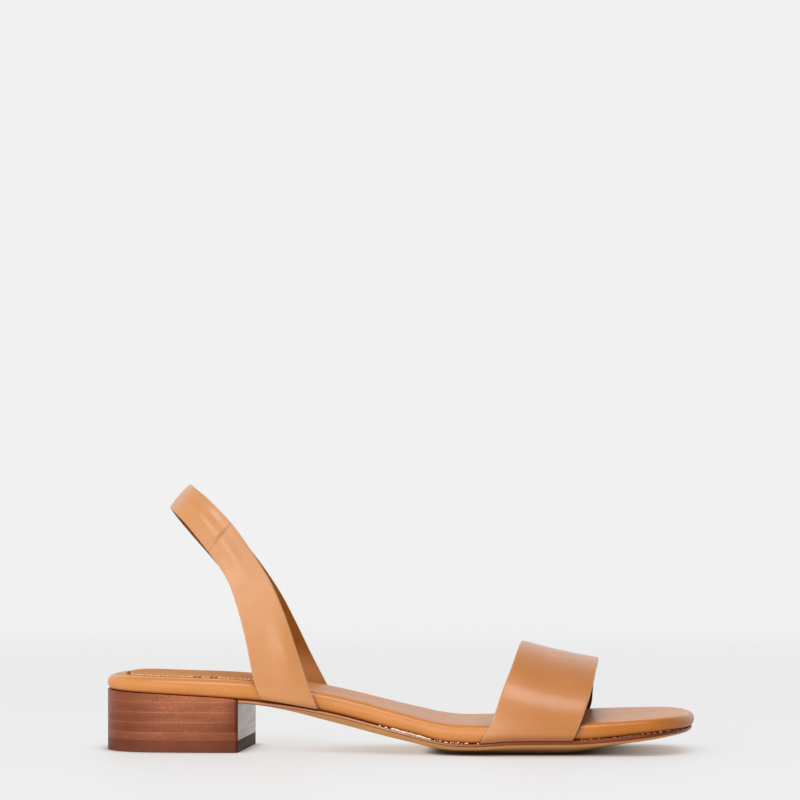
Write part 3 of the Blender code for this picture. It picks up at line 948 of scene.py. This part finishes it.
def make_glue():
    """Small whitish beads of glue, partly painted glints, in the outer seam between footbed and
    outsole.
    """
    line = inset(fore_outline()[: OUTSOLE_STATIONS + 1], GLUE_INSET - OUTSOLE_MARGIN)
    shares = np.linspace(-0.5, 0.5, GLUE_POINTS)
    bodies = []
    for start, end, pitch, size in zip(*GLUE.values()):
        for place in np.arange(start, end, pitch):
            radius = size * RANDOM.uniform(*GLUE_SIZES)
            length = radius * RANDOM.uniform(*GLUE_LENGTHS)
            along = place + RANDOM.uniform(*GLUE_SHIFTS) * pitch + shares * length
            plan = np.column_stack([along, np.interp(along, line[:, 0], line[:, 1])])
            height = sole_top(plan) + GLUE_RISE + RANDOM.uniform(*GLUE_RISES)
            bodies.append(bead(at_height(plan, height), radius))
    make_beads("seam_glue", bodies, {}, seam_glue, "outsole_leather")


def clear_of_heel(ring):
    """Keep the outsole's two rear corners, and the edge between them, along the skewed breast."""
    ring = ring.copy()
    ring[[0, -1], 0] = breast(ring[[0, -1], 1]) + FIT_GAP
    return ring


def make_outsole():
    outline = fore_outline()
    ends = (BREAST, SPINE_END)
    upper = clear_of_heel(towards_spine(outline, UNDERSIDE_SHARE, *ends))
    rings = [at_height(upper, sole_top(upper))]
    line, rubbed = (
        smooth(PAINT["along"], PAINT[name], outline[:, 0]) for name in ("share", "rubbed")
    )
    for distance, share, is_painted, _ in zip(*OUTSOLE_SIDE.values()):
        edge = clear_of_heel(inset(outline, distance - OUTSOLE_MARGIN))
        drop = line * share if is_painted else line + (1 - line) * share
        rings.append(at_height(edge, sole_top(edge) - drop * profile("edge", edge[:, 0])))
    for share, sink in zip(*TREAD_SHARES.values()):
        lower = clear_of_heel(towards_spine(edge, share, *ends))
        bevel = sole_top(lower) - profile("edge", lower[:, 0])
        floor = np.maximum(profile("tread", lower[:, 0]), 0)
        rings.append(at_height(lower, bevel + (floor - bevel) * sink))
    bare = [0] * len(TREAD_SHARES["share"])
    painted, crest = (
        np.array([*bare, *OUTSOLE_SIDE[name][::-1], 0]) for name in ("painted", "crest")
    )
    masks = {
        "paint": np.repeat(painted, len(outline)),
        "crest": np.outer(crest, rubbed),
        "dark": DARK_PAINT_SHARE * np.outer(painted, ramp(outline[:, 0], *DARK_PAINT_SPAN)),
    }
    piece("outsole_edge", rings[::-1], masks, outsole_leather, "outsole_leather", "outsole")


def corner_curve(before, corner, after):
    """Points of a small curve round a corner, from its side before to its side after."""
    start = corner + (before - corner) * CORNER_ROUND / np.linalg.norm(before - corner)
    end = corner + (after - corner) * CORNER_ROUND / np.linalg.norm(after - corner)
    turn = CORNER_TURN[:, None]
    return start * (1 - turn) ** 2 + corner * 2 * turn * (1 - turn) + end * turn**2


def heel_ring(setback):
    """Outline of the heel with its front along the breast, set back by a distance."""
    ring = heel_outline(BREAST, HEEL_STATIONS)
    ring[[0, -1], 0] = breast(ring[[0, -1], 1]) - setback
    inner = corner_curve(ring[1], ring[0], ring[-1])
    outer = corner_curve(ring[-2], ring[-1], ring[0])
    return np.vstack([inner[::-1], ring[1:-1], outer])


def heel_masks(rings, rises, number):
    """Named values of a heel layer: share of its height, tone partly painted light, burnish and
    painted shade, dark front corners.
    """
    along = np.vstack(rings)[:, 0]
    tone, start, power, share = (column[number] for column in HEEL_LAYERS.values())
    to_breast = share * ramp(along, start, BREAST) ** power
    side = np.zeros(len(rings[0]) - 2 * len(CORNER_TURN))
    corner = np.concatenate([CORNER_TURN[::-1], side, CORNER_TURN])
    return {
        "rise": np.repeat(rises, len(rings[0])),
        "tone": np.full(len(along), tone),
        "burnish_and_shade": to_breast + BACK_BAND_SHARE * ramp(along, *BACK_BAND),
        "corner": np.tile(corner, len(rings)),
    }


def heel_piece(number, rings, rises):
    """One layer of the heel, counted from its top piece, with another material on the breast."""
    if number:
        name, slot = f"heel_lift_{number}", "heel_stack"
        side, front = stacked_leather, breast_leather
    else:
        name, slot = "heel_top_piece", "top_piece_rubber"
        side, front = top_piece_rubber, breast_rubber
    masks = heel_masks(rings, rises, number)
    layer = piece(f"{name}_edge", rings, masks, side, slot, name, sharp=HEEL_SHARP_ANGLE)
    second_material(layer, rings, len(rings[0]) - 1, front)


def make_heel():
    levels = (0.0, *LIFT_LEVELS)
    for number, (low, high) in enumerate(zip(levels, levels[1:])):
        rings = [at_height(heel_ring(0), low + (high - low) * rise) for rise in LIFT_RISES]
        heel_piece(number, rings, LIFT_RISES)
    base = levels[-1]
    seat = sole_top(heel_ring(0))
    rings = []
    for rise in LIFT_RISES:
        ring = heel_ring(BREAST_SHOULDER * ramp(rise, *SHOULDER_RISES) ** 2)
        rings.append(at_height(ring, base + (seat - base) * rise))
    heel_piece(len(LIFT_LEVELS), rings, np.zeros(len(rings)))


def strap_piece(name, grid, thickness, material, inside, node):
    """A lined strap with rounded cut edges about the grid of points midway through its wall."""
    run = np.gradient(grid, axis=1)
    run /= np.linalg.norm(run, axis=2, keepdims=True)
    wall = outward(grid) * np.broadcast_to(thickness, grid.shape[:2])[..., None] / 2
    rear = [(0, depth, up) for depth, up in zip(STRAP_EDGE["inset"], STRAP_EDGE["up"])]
    front = [(-1, -depth, up) for _, depth, up in rear[::-1]]
    sheet = [(column, 0, 1) for column in range(1, grid.shape[1] - 1)]
    stations = [
        (grid[:, column] + run[:, column] * depth, wall[:, column] * up)
        for column, depth, up in rear + sheet + front
    ]
    loop = [at + lift for at, lift in stations] + [at - lift for at, lift in stations[::-1]]
    rings = list(np.stack(loop, axis=1))
    marks = [*STRAP_EDGE["cut"], *[0.0] * len(sheet), *STRAP_EDGE["cut"][::-1]]
    cut = np.tile(marks + marks[::-1], len(rings))
    along, _, height = np.vstack(rings).T
    # Painted shade at the foot of the strap, where it tucks in above the outsole
    base = bump_at(height - profile("seam", along), 0, BASE_REACH)
    masks = {"cut": cut, "matt": cut, "base": base}
    strap = piece(name, rings, masks, material, "strap_leather", node, sharp=STRAP_SHARP_ANGLE)
    second_material(strap, rings, len(stations), inside)


def front_strap_form():
    """Grid of points on the foot form under the front strap, from its outer to its inner base."""
    turn = np.linspace(0, np.pi, FRONT_STRAP_STEPS + 1)
    angle = (np.pi / 2 * (1 - np.cos(turn)))[:, None]
    rise = np.abs(np.sin(angle)) ** (2 / FORM_POWER)
    reach = np.sign(np.cos(angle)) * np.abs(np.cos(angle)) ** (2 / FORM_POWER)
    back, outer_front, inner_front = (
        smooth(FRONT_STRAP_EDGES["rise"], FRONT_STRAP_EDGES[name], rise)
        for name in ("back", "outer_front", "inner_front")
    )
    skew = FRONT_SKEW * bump_at(angle, FRONT_SKEW_ANGLE, FRONT_SKEW_REACH)
    front = np.where(reach > 0, outer_front, inner_front) - skew
    along = back + (front - back) * np.linspace(0, 1, FRONT_STRAP_COLUMNS + 1)
    base = profile("seam", along) + STRAP_FOOT
    crown = smooth(INSTEP["along"], INSTEP["crown"], along)
    tuck = TUCK_DEPTH * np.clip(1 - rise / TUCK_RISE, 0, 1) ** 2
    half = half_width(along) + STRAP_GAP - tuck
    side = middle(along) - half * reach + CROWN_SHIFT * np.sin(angle) ** 2
    return np.stack([along, side, base + (crown - base) * rise], axis=2)


def make_front_strap():
    inner = front_strap_form()
    grid = inner + outward(inner) * STRAP_THICKNESS / 2
    looks = (strap_leather, strap_lining)
    strap_piece("front_strap_cover", grid, STRAP_THICKNESS, *looks, "front_strap")


def sling_folds(places):
    """Height of the sling's soft ridges and troughs at its rows."""
    return sum(
        height * bump_at(places, row, reach) * bump_at(SLING_SHARES, share, width)
        for row, share, reach, width, height in zip(*SLING_FOLDS.values())
    )


def sling_grid(first, last, steps_per_row):
    """Rows and grid of points midway through the sling's wall, between two of its rows."""
    rows = np.arange(len(SLING["rear_along"]), dtype=float)
    places = np.linspace(first, last, int(round((last - first) * steps_per_row)) + 1)

    def edge(name):
        """Points along the rear or the front edge."""
        ways = (SLING[f"{name}_{way}"] for way in ("along", "side", "up"))
        return np.column_stack([smooth(rows, way, places) for way in ways])

    share = SLING_SHARES[..., None]
    flat = edge("rear")[:, None] * (1 - share) + edge("front")[:, None] * share
    places = places[:, None]
    crown = np.interp(places, *SLING_CROWN.values())[..., None] * 4 * share * (1 - share)
    return places, flat + outward(flat) * (crown + sling_folds(places)[..., None])


def pinched(places, thickness):
    """Thickness of the sling, drawn in along the middle of its two seams."""
    pinch = sum(bump_at(places, row, PINCH_WIDTH) for row in (OUTER_SEAM_ROW, INNER_SEAM_ROW))
    return thickness * (1 - PINCH_SHARE * pinch * bump_at(SLING_SHARES, PINCH_PLACE, PINCH_REACH))


def make_sling_strap(name, first, last):
    places, grid = sling_grid(first, last, STRAP_STEPS_PER_ROW)
    thickness = pinched(places, STRAP_THICKNESS)
    strap_piece(f"{name}_cover", grid, thickness, sling_leather, sling_lining, name)


def make_sling_sleeve():
    places, grid = sling_grid(OUTER_SEAM_ROW, INNER_SEAM_ROW, SLEEVE_STEPS_PER_ROW)
    wander = sum(
        size * np.sin(by_share * SLING_SHARES + by_row * places)
        for size, by_share, by_row in zip(*GATHER_WAVES.values())
    )
    ripple = np.sin(2 * np.pi * GATHERS_PER_ROW * places + wander)
    from_seam = np.minimum(places - OUTER_SEAM_ROW, INNER_SEAM_ROW - places)
    fade = GATHER_LEAST + (1 - GATHER_LEAST) * np.exp(-from_seam / GATHER_FADE)
    gathers = ripple * GATHER_DEPTH * fade * bump_at(SLING_SHARES, GATHER_PLACE, GATHER_SHARE)
    gathered = grid + outward(grid) * gathers[..., None]
    thickness = pinched(places, SLEEVE_THICKNESS)
    looks = (sling_leather, sling_lining)
    strap_piece("sling_sleeve_cover", gathered, thickness, *looks, "sling_sleeve")


def make_sling():
    last = len(SLING["rear_along"]) - 1
    make_sling_strap("sling_strap_outer", 0, OUTER_SEAM_ROW - SEAM_SHARE)
    make_sling_sleeve()
    make_sling_strap("sling_strap_inner", INNER_SEAM_ROW + SEAM_SHARE, last)


# Stage, in metres
FLOOR_RADIUS = 1.3
FLOOR_SIDES = 96
FLOOR_FADE = (0.45, 0.95 * FLOOR_RADIUS)
FLOOR_DEPTH = 0.00005
FLOOR_WHITE = (0.22, 0.2195, 0.218)
FLOOR_GRAIN = 0.985
FLOOR_GLOW = 0.577
# Painted shade in the floor's glow: close under the ball, reaching further under the heel
# and the rising toe
FLOOR_SHADE = (0.01, 0.005, 0.002)
FLOOR_SHADE_REACH = 0.0035
FLOOR_SHADE_TOE = 0.0095
FLOOR_SHADE_TOE_SPAN = (0.07, 0.125)
FLOOR_SHADE_HEEL = 0.008
FLOOR_SHADE_HEEL_SPAN = (-0.055, -0.03)
FLOOR_SHADE_SAMPLES = 8
# A wider, faint warm painted shade
FLOOR_TINT = (0.8, 0.73, 0.66)
FLOOR_TINT_REACH = 0.018
FLOOR_OPENNESS = (0.15, 0.95)
# Strengths of the surroundings, each with the span of directions over which it changes
BACK_LIGHT = (0.88, 1.0)
BACK_SPAN = (0.12, 0.35)
FRONT_LIGHT = (0.89, 0.12)
FRONT_SPAN = (-0.5, 0.45)
BACK_TO_FRONT_SPAN = (-0.3, 0.6)
TOP_LIGHT = (1.0, 0.38)
TOP_SPAN = (0.5, 0.88)
# Name, place and target of each light, its width and depth, its watts and its roll in degrees
LIGHTS = (
    ("softbox", (0.08, -0.85, 1.42), (0.0, 0.0, 0.03), (1.2, 0.66), 12.2, -18),
    ("side_panel", (-0.58, -1.59, 0.22), (0.0, 0.0, 0.04), (0.6, 0.54), 3.7, 0),
    ("left_panel", (-0.885, -1.363, 0.587), (-0.08, 0.0, 0.09), (0.35, 0.35), 2.8, 0),
)
CAMERA_PLACE = (0.1631, -1.9437, 0.1488)
CAMERA_TURN = 4.8
CAMERA_LENS = 205.7
CAMERA_SENSOR = 36


def floor_paper():
    """Pale paper with a glow of its own, painted shade close to the shoe, and faded out at its rim.
    """
    glow = {"Emission_Strength": FLOOR_GLOW}
    shader = Shader("floor_paper", FLOOR_WHITE, roughness=0.6, ior=1.4, **glow)
    along = shader.axis("X")
    toe = shader.between(along, *FLOOR_SHADE_TOE_SPAN, FLOOR_SHADE_REACH, FLOOR_SHADE_TOE)
    heel = shader.between(along, *FLOOR_SHADE_HEEL_SPAN, FLOOR_SHADE_HEEL, 0)
    near = shader.maths("MAXIMUM", toe, heel)
    tone = (1, 1, 1)
    for shade, reach in ((FLOOR_TINT, FLOOR_TINT_REACH), (FLOOR_SHADE, near)):
        inputs = {"Distance": reach}
        open_sky = shader.node("ShaderNodeAmbientOcclusion", inputs, samples=FLOOR_SHADE_SAMPLES)
        openness = shader.between(open_sky.outputs["AO"], *FLOOR_OPENNESS)
        tone = shader.mix(openness, shade, tone)
    shader.connect("Emission Color", tone)
    grain = tuple(FLOOR_GRAIN * value for value in FLOOR_WHITE)
    shader.connect("Base Color", shader.mix(shader.clouds(size=3), FLOOR_WHITE, grain))
    length = shader.node("ShaderNodeVectorMath", {0: shader.place}, operation="LENGTH")
    shader.connect("Alpha", shader.between(length.outputs["Value"], *FLOOR_FADE, 1, 0))
    return shader.material


def make_floor():
    """A pale, lit round floor that fades into the background, with painted shade close under the
    shoe.
    """
    turn = np.linspace(0, 2 * np.pi, FLOOR_SIDES, endpoint=False)
    rim = np.column_stack([np.cos(turn), np.sin(turn)]) * FLOOR_RADIUS
    corners = [(x, y, -FLOOR_DEPTH) for x, y in rim.tolist()]
    mesh = bpy.data.meshes.new("floor")
    mesh.from_pydata(corners, [], [tuple(range(FLOOR_SIDES))])
    mesh.materials.append(floor_paper())
    floor = bpy.data.objects.new("floor", mesh)
    bpy.context.scene.collection.objects.link(floor)


def make_world():
    """Studio surroundings: bright behind the shoe, dimmer to the front right and overhead."""
    world = bpy.data.worlds.new("studio")
    world.use_nodes = True
    bpy.context.scene.world = world
    studio = Nodes(world.node_tree, "Generated")
    right, away, up = (studio.axis(name) for name in "XYZ")
    behind = studio.between(away, *BACK_TO_FRONT_SPAN)
    front = studio.between(right, *FRONT_SPAN, *FRONT_LIGHT)
    back = studio.between(up, *BACK_SPAN, *BACK_LIGHT)
    blend = studio.node("ShaderNodeMix", {0: behind, 2: front, 3: back}).outputs[0]
    strength = studio.maths("MULTIPLY", blend, studio.between(up, *TOP_SPAN, *TOP_LIGHT))
    background = studio.tree.nodes["Background"]
    background.inputs["Color"].default_value = (1, 1, 1, 1)
    studio.tree.links.new(strength, background.inputs["Strength"])


def make_light(name, place, target, size, watts, roll):
    """A soft rectangular light aimed at a point and rolled by degrees."""
    lamp = bpy.data.lights.new(name, "AREA")
    lamp.shape = "RECTANGLE"
    lamp.size, lamp.size_y = size
    lamp.energy = watts
    light = bpy.data.objects.new(name, lamp)
    light.location = place
    aim = Vector(target) - light.location
    light.rotation_euler = aim.to_track_quat("-Z", "Y").to_euler()
    light.rotation_euler.rotate_axis("Z", np.radians(roll))
    bpy.context.scene.collection.objects.link(light)


def make_camera():
    camera = bpy.data.objects.new("camera", bpy.data.cameras.new("camera"))
    camera.location = CAMERA_PLACE
    camera.rotation_euler = (np.pi / 2, 0, np.radians(CAMERA_TURN))
    camera.data.lens = CAMERA_LENS
    camera.data.sensor_width = CAMERA_SENSOR
    bpy.context.scene.collection.objects.link(camera)
    bpy.context.scene.camera = camera


make_footbed()
make_heel_sock()
make_outsole()
make_glue()
make_heel()
make_front_strap()
make_sling()
make_floor()
make_world()
for light in LIGHTS:
    make_light(*light)
make_camera()
bpy.context.scene.view_settings.view_transform = "Standard"
